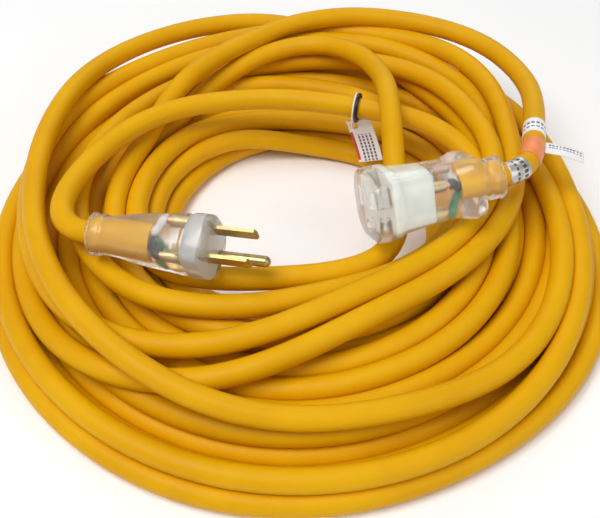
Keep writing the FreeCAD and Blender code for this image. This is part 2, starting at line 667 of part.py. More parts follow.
def make_tag(points):
    """Wire loop round the plug's lead, the card that hangs from it, and the lead's centre there."""
    centre = (points[TIE_RUN] + points[TIE_RUN + 1]) * 0.5
    along = points[TIE_RUN + 1] - points[TIE_RUN]
    along.z = 0
    along.normalize()
    down = Vector(0, 0, -1)
    across = along.cross(down)
    round_radius = CORD_RADIUS + TIE_CLEARANCE + TIE_WIRE_DIAMETER / 2
    low = centre + down * TIE_DROP
    left = across * round_radius
    path = [
        Part.Arc(centre - left, centre - down * round_radius, centre + left).toShape(),
        Part.LineSegment(centre + left, low + left).toShape(),
        Part.Arc(low + left, low + down * round_radius, low - left).toShape(),
        Part.LineSegment(low - left, centre - left).toShape(),
    ]
    loop = sweep(path, TIE_WIRE_DIAMETER / 2)
    hole_centre = low + down * round_radius
    tilt = FreeCAD.Rotation(across, -TAG_TILT)
    card_along = tilt.multVec(along)
    card_down = tilt.multVec(down)
    corner = hole_centre - (card_down + card_along) * TAG_HOLE_EDGE - across * (TAG_THICKNESS / 2)
    card = make_card(corner, card_along * TAG_WIDTH, card_down * TAG_LENGTH,
                     across * TAG_THICKNESS)
    hole = rod(hole_centre - across * TAG_THICKNESS, hole_centre + across * TAG_THICKNESS,
               TAG_HOLE_DIAMETER)
    return {"tie_loop": loop, "hang_tag": card.cut(hole)}, centre, along


# ---- build -------------------------------------------------------
def report_lead(name, points, solid):
    radii = [turn_radius(*three)[0] for three in zip(points, points[1:], points[2:])]
    length = sum(edge.Length for edge in route_edges(points))
    ideal = math.pi * CORD_RADIUS ** 2 * length
    runs = [round((after - before).Length, 1) for before, after in zip(points, points[1:])]
    print(name, "length", round(length, 1), "volume / ideal", round(solid.Volume / ideal, 4))
    print("  radii", [round(radius, 1) for radius in radii])
    print("  runs ", runs)


def build():
    plug_turn = FreeCAD.Rotation(PLUG_YAW, -PLUG_RISE, PLUG_ROLL)
    connector_turn = FreeCAD.Rotation(CONNECTOR_YAW, -CONNECTOR_RISE, CONNECTOR_ROLL)
    plug_points = lead_points(PLUG_PLACE, plug_turn.multVec(AXIS), PLUG_EXIT_RUN, PLUG_LEAD_ROUTE)
    connector_points = lead_points(CONNECTOR_PLACE, connector_turn.multVec(AXIS),
                                   CONNECTOR_EXIT_RUN, CONNECTOR_LEAD_ROUTE)
    connector_edges = route_edges(connector_points)
    parts = {
        "cable_coil": make_coil(),
        "plug_lead": tube(plug_points, CORD_RADIUS),
        "connector_lead": tube(connector_points, CORD_RADIUS),
    }
    parts.update(make_plug())
    parts.update(make_connector())
    parts.update(make_labels(connector_edges))
    parts["flag_label"] = make_flag(connector_edges)
    tag, tie_centre, tie_axis = make_tag(plug_points)
    parts.update(tag)
    report_lead("plug_lead", plug_points, parts["plug_lead"])
    report_lead("connector_lead", connector_points, parts["connector_lead"])
    print("tie centre", tie_centre, "axis", tie_axis)
    return parts


os.makedirs("parts", exist_ok=True)
for node, shape in build().items():
    if not shape.isValid():
        print("INVALID", node)
    shape.exportStep("parts/" + node + ".step")
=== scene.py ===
"""Coiled extension cord with clear mouldings: cord, mouldings, labels, tag and studio."""
import math

import bmesh
import bpy
import numpy as np
from mathutils import Euler, Matrix, Quaternion, Vector


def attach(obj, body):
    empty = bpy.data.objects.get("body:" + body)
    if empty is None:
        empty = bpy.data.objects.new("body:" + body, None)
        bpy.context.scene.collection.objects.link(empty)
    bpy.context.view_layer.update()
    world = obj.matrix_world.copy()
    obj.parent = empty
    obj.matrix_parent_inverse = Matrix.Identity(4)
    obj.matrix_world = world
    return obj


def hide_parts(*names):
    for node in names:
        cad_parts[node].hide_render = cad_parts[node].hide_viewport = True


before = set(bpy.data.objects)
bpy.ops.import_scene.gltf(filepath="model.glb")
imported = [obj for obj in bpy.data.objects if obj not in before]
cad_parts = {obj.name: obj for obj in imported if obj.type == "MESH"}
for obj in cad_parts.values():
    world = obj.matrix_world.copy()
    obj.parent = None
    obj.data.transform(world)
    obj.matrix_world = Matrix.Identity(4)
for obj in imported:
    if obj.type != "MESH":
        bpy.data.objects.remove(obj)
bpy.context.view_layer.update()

MM = 0.001
UP = Vector((0, 0, 1))

# ---- camera ----------------------------------------------------------------------------------
CAMERA_PLACE = (0.0, -0.308, 0.305)
CAMERA_ELEVATION = math.radians(46.5)
CAMERA_LENS = 51.84
CAMERA_SENSOR = 36.0


def make_camera():
    """Camera in front of the coil and above it, looking down at its eye."""
    data = bpy.data.cameras.new("camera")
    data.lens = CAMERA_LENS
    data.sensor_width = CAMERA_SENSOR
    camera = bpy.data.objects.new("camera", data)
    camera.location = CAMERA_PLACE
    camera.rotation_euler = (math.pi / 2 - CAMERA_ELEVATION, 0.0, 0.0)
    bpy.context.scene.collection.objects.link(camera)
    bpy.context.scene.camera = camera


# ---- cord ------------------------------------------------------------------------------------
CORD_DIAMETER = 0.0104
CORD_RADIUS = CORD_DIAMETER / 2

# Free leads, from each moulding's rear to the place where they join the coil.
PLUG_LEAD = [
    (-0.0870, -0.0482, 0.0468),
    (-0.0939, -0.0464, 0.0460),
    (-0.1010, -0.0403, 0.0452),
    (-0.1052, -0.0310, 0.0442),
    (-0.1056, -0.0185, 0.0430),
    (-0.1026, -0.0030, 0.0415),
    (-0.0940, 0.0155, 0.0415),
    (-0.0798, 0.0345, 0.0415),
    (-0.0597, 0.0480, 0.0415),
    (-0.0340, 0.0538, 0.0415),
    (-0.0090, 0.0534, 0.0426),
    (0.0145, 0.0488, 0.0434),
    (0.0435, 0.0412, 0.0430),
    (0.0620, 0.0370, 0.0405),
    (0.0770, 0.0280, 0.0360),
    (0.0880, 0.0150, 0.0300),
]
CONNECTOR_LEAD = [
    (0.0866, -0.0207, 0.0546),
    (0.0923, -0.0190, 0.0547),
    (0.0982, -0.0149, 0.0542),
    (0.1033, -0.0081, 0.0532),
    (0.1069, 0.0012, 0.0516),
    (0.1099, 0.0126, 0.0498),
    (0.1132, 0.0270, 0.0476),
    (0.1166, 0.0440, 0.0454),
    (0.1182, 0.0635, 0.0430),
    (0.1136, 0.0846, 0.0415),
    (0.1022, 0.1044, 0.0415),
    (0.0835, 0.1198, 0.0415),
    (0.0570, 0.1308, 0.0415),
    (0.0260, 0.1349, 0.0415),
    (-0.0040, 0.1265, 0.0415),
    (-0.0240, 0.1115, 0.0415),
    (-0.0430, 0.0950, 0.0415),
    (-0.0590, 0.0760, 0.0408),
    (-0.0695, 0.0570, 0.0362),
    (-0.0775, 0.0395, 0.0286),
]

BEARING_STEP = 10               # degrees between the points of a turn
RING_BEARINGS = 8               # the two reaches below are given every 45 degrees from +X
INNER_REACH = np.array([74, 68, 59, 64, 70, 68, 62, 69.0]) * MM
OUTER_REACH = np.array([137, 143, 149, 143, 137, 142, 150, 144.0]) * MM
# One lane for each turn in the order of the cord: share of the way out from the eye, and height.
LANES = [
    (0.10, 0.0340), (0.25, 0.0320), (0.35, 0.0300), (0.30, 0.0200), (0.16, 0.0140), (0.02, 0.0060),
    (0.14, 0.0052), (0.34, 0.0052), (0.42, 0.0150), (0.52, 0.0052), (0.66, 0.0052),
    (0.62, 0.0150), (0.84, 0.0052), (0.98, 0.0052), (0.90, 0.0052), (0.92, 0.0150), (0.72, 0.0150),
    (0.75, 0.0240), (0.52, 0.0240), (0.30, 0.0300), (0.20, 0.0240), (0.25, 0.0300),
]
LANE_CHANGE_START = 0.55        # share of a turn after which it moves to the next lane
LANE_CHANGE_SHARE = 0.45
WANDER = 0.0060                 # how far a turn strays from its lane
HARMONICS = (1, 2, 3)
SEED = 5
EASING_PASSES = 3
# Turns that lie loose on top, in the order of the cord. Bearings fall clockwise from +X, seen from
# above, and each mark is a bearing in degrees, a reach in millimetres and a height in millimetres.
LOOSE_TURNS = {
    0: [(-30, 78, 35), (-52, 69, 36), (-79, 67, 36), (-103, 76, 36), (-124, 93, 35), (-150, 103, 34),
        (-180, 106, 33), (-225, 108, 31), (-262, 108, 32), (-290, 112, 34), (-309, 112, 36),
        (-320, 105, 37), (-337, 94, 37), (-348, 87, 37)],
    1: [(-8, 83, 37), (-28, 82, 37), (-48, 74, 38), (-77, 73, 38), (-100, 91, 36), (-117, 110, 33),
        (-140, 124, 28), (-180, 128, 25), (-225, 134, 28), (-262, 137, 31), (-290, 137, 33),
        (-310, 131, 34), (-321, 126, 34), (-329, 118, 34), (-340, 106, 34), (-350, 98, 34)],
    2: [(-10, 96, 34), (-28, 89, 38), (-53, 81, 38), (-79, 86, 37), (-99, 105, 33), (-110, 121, 29),
        (-135, 134, 20), (-180, 134, 17), (-225, 126, 27), (-262, 124, 32), (-290, 130, 32),
        (-312, 138, 30), (-332, 124, 28), (-340, 116, 28)],
    12: [(-40, 133, 6), (-66, 124, 6), (-90, 130, 5.2), (-112, 131, 5.2), (-130, 127, 5.2)],
    13: [(-20, 142, 8), (-42, 146, 5.2), (-69, 147, 5.2), (-97, 153, 5.2), (-112, 152, 5.2),
         (-127, 147, 5.2), (-150, 141, 6), (-180, 137, 10)],
    14: [(-30, 139, 8), (-60, 137, 5.2), (-90, 143.5, 5.2), (-110, 140, 5.2), (-130, 135, 5.2)],
    17: [(-40, 134, 18), (-53, 128, 21), (-73, 123, 24), (-90, 126, 25), (-107, 127, 29),
         (-122, 122, 36), (-142, 123, 41), (-170, 121, 41), (-201, 130, 40), (-221, 145, 37),
         (-245, 150, 36), (-270, 148, 35), (-290, 146, 32)],
    19: [(-235, 105, 30), (-251, 103, 33), (-270, 119, 38), (-282, 118, 42), (-293, 96, 46),
         (-304, 71, 50), (-313, 60, 53), (-327, 50, 53), (-344, 44, 51), (-358, 43, 47),
         (-370, 44, 43), (-374, 45, 41)],
    20: [(-15, 45, 40), (-30, 51, 34), (-52, 62, 33), (-80, 57, 34), (-110, 60, 34), (-124, 71, 34),
         (-150, 84, 32)],
}


def around(values, bearing):
    """Smooth closed curve through values given at equal bearings."""
    place = (bearing % 360) / (360 / RING_BEARINGS)
    index = np.floor(place).astype(int)
    part = place - index
    before, here, after, beyond = (values[(index + k) % RING_BEARINGS] for k in (-1, 0, 1, 2))
    bend = 2 * before - 5 * here + 4 * after - beyond
    twist = 3 * (here - after) + beyond - before
    return here + 0.5 * part * (after - before + part * (bend + part * twist))


def wind_turns():
    """Loose turns between the ends of the two leads, before they settle."""
    rng = np.random.default_rng(SEED)
    first = math.degrees(math.atan2(PLUG_LEAD[-1][1], PLUG_LEAD[-1][0]))
    last = math.degrees(math.atan2(CONNECTOR_LEAD[-1][1], CONNECTOR_LEAD[-1][0]))
    turns = len(LANES) - 1
    count = round((360 * turns + (first - last) % 360) / BEARING_STEP)
    bearing = first - np.arange(1, count) * BEARING_STEP
    turn = (first - bearing) / 360
    lane = np.minimum(np.floor(turn).astype(int), turns - 1)
    change = np.clip((turn - lane - LANE_CHANGE_START) / LANE_CHANGE_SHARE, 0, 1)
    change = change * change * (3 - 2 * change)
    lanes = np.array(LANES)
    here, after = lanes[lane], lanes[lane + 1]
    share = here[:, 0] * (1 - change) + after[:, 0] * change
    height = here[:, 1] * (1 - change) + after[:, 1] * change
    angle = np.radians(bearing)
    wander = np.zeros(count - 1)
    turn_starts = np.arange(turns + 2)
    for harmonic in HARMONICS:
        size = rng.normal(0, 1, turns + 2)
        phase = rng.uniform(0, 2 * math.pi, turns + 2)
        cosine = np.interp(turn, turn_starts, size * np.cos(phase))
        sine = np.interp(turn, turn_starts, size * np.sin(phase))
        wave = cosine * np.cos(harmonic * angle) + sine * np.sin(harmonic * angle)
        wander += wave * WANDER / harmonic
    near, far = around(INNER_REACH, bearing), around(OUTER_REACH, bearing)
    reach = np.clip(near + share * (far - near) + wander, near, far)
    hold = np.full(count - 1, LOOSE_HOLD)
    for number, marks in LOOSE_TURNS.items():
        marks = np.array(marks, float)
        place = -bearing - 360 * number
        chosen = (place >= -marks[0, 0]) & (place <= -marks[-1, 0])
        reach[chosen] = np.interp(place[chosen], -marks[:, 0], marks[:, 1]) * MM
        height[chosen] = np.interp(place[chosen], -marks[:, 0], marks[:, 2]) * MM
        hold[chosen] = FIRM_HOLD
    for values in (reach, height):
        for _ in range(EASING_PASSES):
            values[1:-1] += 0.5 * (0.5 * (values[:-2] + values[2:]) - values[1:-1])
    return np.stack([reach * np.cos(angle), reach * np.sin(angle), height], 1), hold


# The spline's own weights at three places in each span.
SPAN_WEIGHTS = [((1 - t) ** 2 / 2, 0.5 + t * (1 - t), t * t / 2) for t in (0.0, 1 / 3, 2 / 3)]
SETTLE_ROUNDS = 260
SINK_STEP = 0.00035             # how far a free point sinks in the first round
SINK_FADE = 0.6
HOLD_FADE = 0.7
PAIR_ROUNDS = 6                 # rounds between searches for strands that lie close
PAIR_REACH = 1.35 * CORD_DIAMETER
PAIR_ROWS = 512                 # samples compared at a time, to save memory
PUSH_PASSES = 3
PUSH_SHARE = 0.75               # a point's own weight on the samples beside it
LENGTH_PASSES = 2
LENGTH_SHARE = 0.25
LOOSE_HOLD = 0.02               # pull back to where a point was laid
FIRM_HOLD = 0.12
LOOSE_AXES = np.array([1, 1, 0.3])
HELD_AXES = np.array([1, 1, 1.0])
NEIGHBOUR_SKIP = 7              # samples along the cord that can't collide with each other
# What the turns stay clear of: start, end and the radii there.
KEEP_CLEAR = [
    ((-0.084, -0.049, 0.0468), (-0.038, -0.061, 0.0515), 0.0085, 0.0135),
    ((0.082, -0.022, 0.0546), (0.034, -0.0367, 0.0537), 0.0100, 0.0160),
]


def along_cord(points):
    """Samples of the spline, three to a span."""
    spans = [a * points[:-2] + b * points[1:-1] + c * points[2:] for a, b, c in SPAN_WEIGHTS]
    return np.stack(spans, 1).reshape(-1, 3)


def close_pairs(samples, reach):
    """Pairs of samples of different strands that lie within a reach."""
    found = []
    for start in range(0, len(samples), PAIR_ROWS):
        rows = samples[start:start + PAIR_ROWS]
        gap = ((rows[:, None, :] - samples[None, start:, :]) ** 2).sum(2)
        i, j = np.nonzero(gap < reach * reach)
        keep = j - i > NEIGHBOUR_SKIP
        found.append(np.stack([i[keep], j[keep]], 1) + start)
    return np.concatenate(found)


def give_back(moves, count):
    """Moves of the samples, shared out to the spline's points by their weights."""
    total = np.zeros((count, 3))
    weight = np.zeros(count)
    moves = moves.reshape(-1, 3, 3)
    for place, weights in enumerate(SPAN_WEIGHTS):
        for offset, share in enumerate(weights):
            rows = slice(offset, count - 2 + offset)
            total[rows] += share * moves[:, place]
            weight[rows] += share
    return total / np.maximum(weight, 1e-6)[:, None]


def push_apart(samples, pairs):
    """Moves that part strands nearer than a cord's diameter."""
    gap = samples[pairs[:, 0]] - samples[pairs[:, 1]]
    distance = np.linalg.norm(gap, axis=1)
    short = CORD_DIAMETER - distance
    touching = short > 0
    i, j = pairs[touching].T
    push = gap[touching] * (0.5 * short[touching] / np.maximum(distance[touching], 1e-6))[:, None]
    moves = np.zeros_like(samples)
    hits = np.zeros(len(samples))
    np.add.at(moves, i, push)
    np.add.at(moves, j, -push)
    np.add.at(hits, i, 1)
    np.add.at(hits, j, 1)
    return moves / np.sqrt(np.maximum(hits, 1))[:, None]


def push_clear(samples, start, end, start_radius, end_radius):
    """Moves that keep the cord outside a tapered round body."""
    start, end = np.array(start), np.array(end)
    axis = end - start
    place = np.clip((samples - start) @ axis / (axis @ axis), 0, 1)
    gap = samples - (start + place[:, None] * axis)
    distance = np.linalg.norm(gap, axis=1)
    needed = start_radius + (end_radius - start_radius) * place + CORD_RADIUS
    short = np.maximum(needed - distance, 0)
    return gap * (short / np.maximum(distance, 1e-6))[:, None]


def settle(points, fixed, hold):
    """Let the turns sink onto the floor and each other, without stretching or passing through."""
    laid = points.copy()
    free = ~fixed
    rest = np.linalg.norm(np.diff(laid, axis=0), axis=1)
    pairs = None
    for round_number in range(SETTLE_ROUNDS):
        late = round_number / SETTLE_ROUNDS
        points[free, 2] -= SINK_STEP * (1 - SINK_FADE * late)
        pull = hold[:, None] * np.where(hold[:, None] > LOOSE_HOLD, HELD_AXES, LOOSE_AXES)
        points[free] += ((1 - HOLD_FADE * late) * pull * (laid - points))[free]
        shift = points - laid
        eased = shift.copy()
        eased[1:-1] += 0.5 * (0.5 * (shift[:-2] + shift[2:]) - shift[1:-1])
        points[free] = (laid + eased)[free]
        if round_number % PAIR_ROUNDS == 0:
            pairs = close_pairs(along_cord(points), PAIR_REACH)
        for _ in range(PUSH_PASSES):
            samples = along_cord(points)
            moves = push_apart(samples, pairs)
            for obstacle in KEEP_CLEAR:
                moves += push_clear(samples, *obstacle)
            moves[:, 2] += np.maximum(CORD_RADIUS - samples[:, 2], 0)
            points[free] += give_back(moves, len(points))[free] / PUSH_SHARE
        for _ in range(LENGTH_PASSES):
            run = np.diff(points, axis=0)
            size = np.linalg.norm(run, axis=1)
            pull = run * (LENGTH_SHARE * (size - rest) / size)[:, None]
            shift = np.zeros_like(points)
            shift[:-1] += pull
            shift[1:] -= pull
            points[free] += shift[free]
        points[free, 2] = np.maximum(points[free, 2], CORD_RADIUS)
    return points


def cord_points():
    """Points of the whole cord, from the plug's rear to the connector's, once it has settled."""
    plug_end, connector_end = np.array(PLUG_LEAD), np.array(CONNECTOR_LEAD)[::-1]
    turns, turn_hold = wind_turns()
    points = np.concatenate([plug_end, turns, connector_end])
    fixed = np.ones(len(points), bool)
    fixed[len(plug_end):-len(connector_end)] = False
    hold = np.zeros(len(points))
    hold[~fixed] = turn_hold
    return settle(points, fixed, hold)


CORD_SPAN_STEPS = 4
CORD_ROUND_STEPS = 7
PATH_SPAN_STEPS = 24


def nurbs_curve(name, points):
    """Curve of one open spline whose control points are the route's own."""
    curve = bpy.data.curves.new(name, "CURVE")
    curve.dimensions = "3D"
    curve.resolution_u = CORD_SPAN_STEPS
    spline = curve.splines.new("NURBS")
    spline.points.add(len(points) - 1)
    for point, place in zip(spline.points, points):
        point.co = (*place, 1.0)
    spline.order_u = 3
    spline.use_endpoint_u = True
    piece = bpy.data.objects.new(name, curve)
    bpy.context.scene.collection.objects.link(piece)
    return piece


def make_cord():
    """The whole cord, from the connector's rear, round the coil, to the plug's rear."""
    cord = nurbs_curve("cord", cord_points()[::-1])
    cord.data.bevel_depth = CORD_RADIUS
    cord.data.bevel_resolution = CORD_ROUND_STEPS
    return cord


def lead_path(points):
    """Points along a lead's own spline, close together."""
    guide = nurbs_curve("guide", points)
    guide.data.resolution_u = PATH_SPAN_STEPS
    mesh = bpy.data.meshes.new_from_object(guide)
    path = [vertex.co.copy() for vertex in mesh.vertices]
    bpy.data.objects.remove(guide)
    bpy.data.meshes.remove(mesh)
    return path


def path_between(path, start, length, step):
    """Evenly spaced points of a path between two arc lengths."""
    places = np.array(path)
    passed = np.concatenate([[0.0], np.cumsum(np.linalg.norm(np.diff(places, axis=0), axis=1))])
    wanted = np.linspace(start, start + length, round(length / step) + 1)
    return [Vector([np.interp(at, passed, places[:, k]) for k in range(3)]) for at in wanted]


# ---- mesh helpers ----------------------------------------------------------------------------
SHARP_ANGLE = math.radians(35)


def shade(mesh):
    """Smooth shading, with edges sharper than an angle left crisp."""
    mesh.shade_smooth()
    mesh.set_sharp_from_angle(angle=SHARP_ANGLE)


def add_piece(name, form):
    """Object at the origin from a finished bmesh."""
    mesh = bpy.data.meshes.new(name)
    form.to_mesh(mesh)
    form.free()
    shade(mesh)
    piece = bpy.data.objects.new(name, mesh)
    bpy.context.scene.collection.objects.link(piece)
    return piece


def add_placed(name, form, place):
    """Object from a bmesh in a moulding's own millimetres, put in its place."""
    bmesh.ops.transform(form, matrix=place, verts=form.verts)
    bmesh.ops.recalc_face_normals(form, faces=form.faces)
    return add_piece(name, form)


def apply_modifiers(piece):
    """Replace a piece's mesh by what its modifiers make of it."""
    graph = bpy.context.evaluated_depsgraph_get()
    mesh = bpy.data.meshes.new_from_object(piece.evaluated_get(graph))
    piece.modifiers.clear()
    piece.data = mesh


def carve(piece, cutters):
    """Cut solids out of a piece, and remove them."""
    for cutter in cutters:
        cut = piece.modifiers.new("cut", "BOOLEAN")
        cut.operation = "DIFFERENCE"
        cut.solver = "EXACT"
        cut.object = cutter
    apply_modifiers(piece)
    for cutter in cutters:
        bpy.data.objects.remove(cutter)


def thicken(piece, thickness, offset=0.0):
    """Give an open sheet a wall."""
    wall = piece.modifiers.new("wall", "SOLIDIFY")
    wall.thickness = thickness
    wall.offset = offset
    wall.use_even_offset = True
    apply_modifiers(piece)


# ---- mouldings -------------------------------------------------------------------------------
# A moulding is modelled in millimetres along +X from its rear, and is then scaled and put in place.
def moulding_place(place, yaw, rise, roll):
    """Matrix from a moulding's own millimetres to where it lies, with its turns in degrees."""
    turn = Euler((math.radians(roll), math.radians(-rise), math.radians(yaw)))
    return Matrix.Translation(place) @ turn.to_matrix().to_4x4() @ Matrix.Scale(MM, 4)


PLUG_PLACE = moulding_place(PLUG_LEAD[0], -14.9, 6.0, 21.0)
CONNECTOR_PLACE = moulding_place(CONNECTOR_LEAD[0], 196.9, -1.0, 28.0)
# Turns a shape drawn in X and Y, such as a grid or a rod's end, to stand across the axis.
ACROSS = Matrix(((0, 0, 1, 0), (1, 0, 0, 0), (0, 1, 0, 0), (0, 0, 0, 1)))
CORNER_SEGMENTS = 9
EASE_SEGMENTS = 4
BOX_EASE_SEGMENTS = 3

# Station along the axis, width, height, corner radius, and how far the edge there is rounded.
PLUG_SECTIONS = [
    (0.0, 16.2, 16.2, 7.8, 1.2),
    (1.6, 17.6, 17.6, 8.5, 0.6),
    (5.2, 17.6, 17.6, 8.5, 0.5),
    (6.0, 16.4, 16.4, 7.9, 0.3),
    (8.0, 16.6, 16.6, 7.9, 0.0),
    (24.0, 21.0, 21.4, 8.8, 0.0),
    (42.8, 24.0, 24.6, 9.2, 0.4),
    (43.8, 23.2, 23.8, 9.0, 0.2),
    (44.8, 23.4, 24.0, 9.0, 0.2),
    (46.0, 25.2, 25.8, 10.0, 0.7),
    (55.0, 25.2, 25.8, 10.0, 2.8),
]
CONNECTOR_SECTIONS = [
    (0.0, 17.0, 17.0, 8.2, 1.4),
    (1.8, 18.6, 18.6, 9.0, 0.7),
    (5.6, 18.6, 18.6, 9.0, 0.5),
    (6.5, 17.0, 17.0, 8.2, 0.3),
    (10.2, 17.4, 17.4, 8.3, 0.4),
    (11.6, 27.6, 25.2, 5.0, 0.5),
    (16.6, 30.4, 25.9, 5.0, 0.7),
    (22.6, 25.6, 24.6, 6.8, 0.8),
    (24.6, 24.8, 24.2, 7.4, 0.0),
    (36.0, 26.4, 25.4, 8.0, 0.0),
    (48.6, 29.2, 27.8, 9.6, 0.6),
    (50.6, 32.3, 30.8, 10.8, 1.1),
    (61.0, 32.5, 30.9, 11.0, 2.0),
]


def section_ring(form, station, width, height, corner):
    """Rounded rectangle across the axis, as one face."""
    known = set(form.faces)
    corners = bmesh.ops.create_grid(form, x_segments=1, y_segments=1, size=0.5)["verts"]
    place = Matrix.Translation((station, 0, 0)) @ ACROSS @ Matrix.Diagonal((width, height, 1, 1))
    bmesh.ops.transform(form, matrix=place, verts=corners)
    bmesh.ops.bevel(form, geom=corners, offset=corner, segments=CORNER_SEGMENTS, profile=0.5,
                    affect="VERTICES", material=-1)
    return next(face for face in form.faces if face not in known)


def lofted(sections):
    """Closed moulding through its sections, with the marked edges rounded."""
    form = bmesh.new()
    faces = [section_ring(form, *values[:4]) for values in sections]
    rings = [list(face.edges) for face in faces]
    for ring, following in zip(rings, rings[1:]):
        bmesh.ops.bridge_loops(form, edges=ring + following)
    bmesh.ops.delete(form, geom=faces[1:-1], context="FACES_ONLY")
    for ring, values in zip(rings, sections):
        if values[4]:
            edges = [edge for edge in ring if edge.is_valid]
            bmesh.ops.bevel(form, geom=edges, offset=values[4], segments=EASE_SEGMENTS,
                            profile=0.5, affect="EDGES", material=-1, clamp_overlap=True)
    bmesh.ops.recalc_face_normals(form, faces=form.faces)
    return form


def eased_box(form, size, centre, ease):
    """Box with every edge rounded."""
    made = bmesh.ops.create_cube(form, size=1.0)["verts"]
    place = Matrix.Translation(centre) @ Matrix.Diagonal((*size, 1))
    bmesh.ops.transform(form, matrix=place, verts=made)
    edges = list({edge for vertex in made for edge in vertex.link_edges})
    bmesh.ops.bevel(form, geom=edges, offset=ease, segments=BOX_EASE_SEGMENTS, profile=0.5,
                    affect="EDGES", material=-1)


BLADE_SIDE = 6.35               # of each slot from the axis
BLADE_LINE = 3.6                # blade line above the axis
GROUND_DROP = 8.3               # ground bore below the axis
FACE_STATION = 61.0
SOCKET_BOTTOM = 38.9
OPENING_PAST_FACE = 2.0
SLOT_WIDTH = 2.5
LINE_SLOT_HEIGHT = 7.35
NEUTRAL_SLOT_HEIGHT = 8.95
MOUTH_EASE = 0.35
BORE_SEGMENTS = 40
MOULDING_BORE_RADIUS = 2.45
CARRIER_BORE_RADIUS = 2.6


def socket_cutters(bore_radius):
    """Solids that open the two slots and the ground bore, from the face inward."""
    length = FACE_STATION + OPENING_PAST_FACE - SOCKET_BOTTOM
    middle = SOCKET_BOTTOM + length / 2
    cutters = []
    for side, height in ((1, LINE_SLOT_HEIGHT), (-1, NEUTRAL_SLOT_HEIGHT)):
        form = bmesh.new()
        eased_box(form, (length, SLOT_WIDTH, height), (middle, side * BLADE_SIDE, BLADE_LINE),
                  MOUTH_EASE)
        cutters.append(add_placed("slot_cutter", form, CONNECTOR_PLACE))
    form = bmesh.new()
    made = bmesh.ops.create_cone(form, cap_ends=True, segments=BORE_SEGMENTS, radius1=bore_radius,
                                 radius2=bore_radius, depth=length)["verts"]
    bmesh.ops.transform(form, matrix=Matrix.Translation((middle, 0, -GROUND_DROP)) @ ACROSS,
                        verts=made)
    cutters.append(add_placed("bore_cutter", form, CONNECTOR_PLACE))
    return cutters


def carve_socket(piece, bore_radius):
    """Open the slots and the ground bore in a piece of the connector."""
    carve(piece, socket_cutters(bore_radius))
    shade(piece.data)


CARRIER_START = 34.1
CARRIER_END = 52.9
CARRIER_WIDTH = 22.0
CARRIER_HEIGHT = 21.3
CARRIER_EASE = 0.9
RIB_SPREAD = (-7.4, -3.7, 0.0, 3.7, 7.4)
RIB_WIDTH = 1.3
RIB_HEIGHT = 1.1
RIB_EASE = 0.3
RIB_SHORTER = 2.4               # than the carrier
RIB_SHIFT = -0.4


def make_carrier():
    """Pale block round the contacts, with ribs along its top and bottom."""
    length = CARRIER_END - CARRIER_START
    middle = (CARRIER_START + CARRIER_END) / 2
    form = bmesh.new()
    eased_box(form, (length, CARRIER_WIDTH, CARRIER_HEIGHT), (middle, 0, 0), CARRIER_EASE)
    carrier = add_placed("contact_block", form, CONNECTOR_PLACE)
    form = bmesh.new()
    for side in (-1, 1):
        for across in RIB_SPREAD:
            centre = (middle + RIB_SHIFT, across, side * CARRIER_HEIGHT / 2)
            eased_box(form, (length - RIB_SHORTER, RIB_WIDTH, RIB_HEIGHT), centre, RIB_EASE)
    ribs = add_placed("contact_block_ribs", form, CONNECTOR_PLACE)
    carve_socket(carrier, CARRIER_BORE_RADIUS)
    return carrier, ribs


# ---- labels ----------------------------------------------------------------------------------
LABEL_STEP = 0.0005
LABEL_SEGMENTS = 44
LABEL_THICKNESS = 0.00022
WRAP_LABELS = {                 # arc length from the connector's rear, and length
    "silver_label": (0.0038, 0.0100),
    "orange_label": (0.0205, 0.0150),
    "white_label": (0.0415, 0.0125),
}
# Generic print: rows along the label as shares of its length, and the dashes round it in degrees.
PRINT_ROWS = {
    "silver_label": ((0.30, 0.42), (0.58, 0.78)),
    "orange_label": (),
    "white_label": ((0.26, 0.38), (0.56, 0.68)),
}
DASH_PITCH = 24.5
DASH_SHARE = 0.62


def wrap_label(name, path):
    """Film wrapped once round the lead, with rows of plain dashes as its print."""
    start, length = WRAP_LABELS[name]
    line = path_between(path, start, length, LABEL_STEP)
    form = bmesh.new()
    way = (line[1] - line[0]).normalized()
    level = way.cross(UP).normalized()
    turn = Matrix((level, level.cross(way), way)).transposed().to_4x4()
    radius = CORD_RADIUS + LABEL_THICKNESS
    made = bmesh.ops.create_circle(form, segments=LABEL_SEGMENTS, radius=radius,
                                   matrix=Matrix.Translation(line[0]) @ turn)["verts"]
    edges = list(form.edges)
    for number, (here, following) in enumerate(zip(line, line[1:])):
        beyond = line[min(number + 2, len(line) - 1)]
        next_way = (beyond - here).normalized()
        grown = bmesh.ops.extrude_edge_only(form, edges=edges)["geom"]
        made = [item for item in grown if isinstance(item, bmesh.types.BMVert)]
        edges = [item for item in grown if isinstance(item, bmesh.types.BMEdge)
                 and item.verts[0] in made and item.verts[1] in made]
        bend = way.rotation_difference(next_way).to_matrix()
        bmesh.ops.translate(form, verts=made, vec=following - here)
        bmesh.ops.rotate(form, verts=made, cent=following, matrix=bend)
        share = (number + 0.5) / (len(line) - 1)
        printed = any(low < share < high for low, high in PRINT_ROWS[name])
        for face in (item for item in grown if isinstance(item, bmesh.types.BMFace)):
            spoke = face.calc_center_median() - here
            angle = math.degrees(math.atan2(spoke.dot(UP), spoke.dot(level))) % DASH_PITCH
            face.material_index = int(printed and angle < DASH_SHARE * DASH_PITCH)
        way = next_way
    bmesh.ops.recalc_face_normals(form, faces=form.faces)
    label = add_piece(name + "_film", form)
    thicken(label, LABEL_THICKNESS, offset=-1.0)
    return label


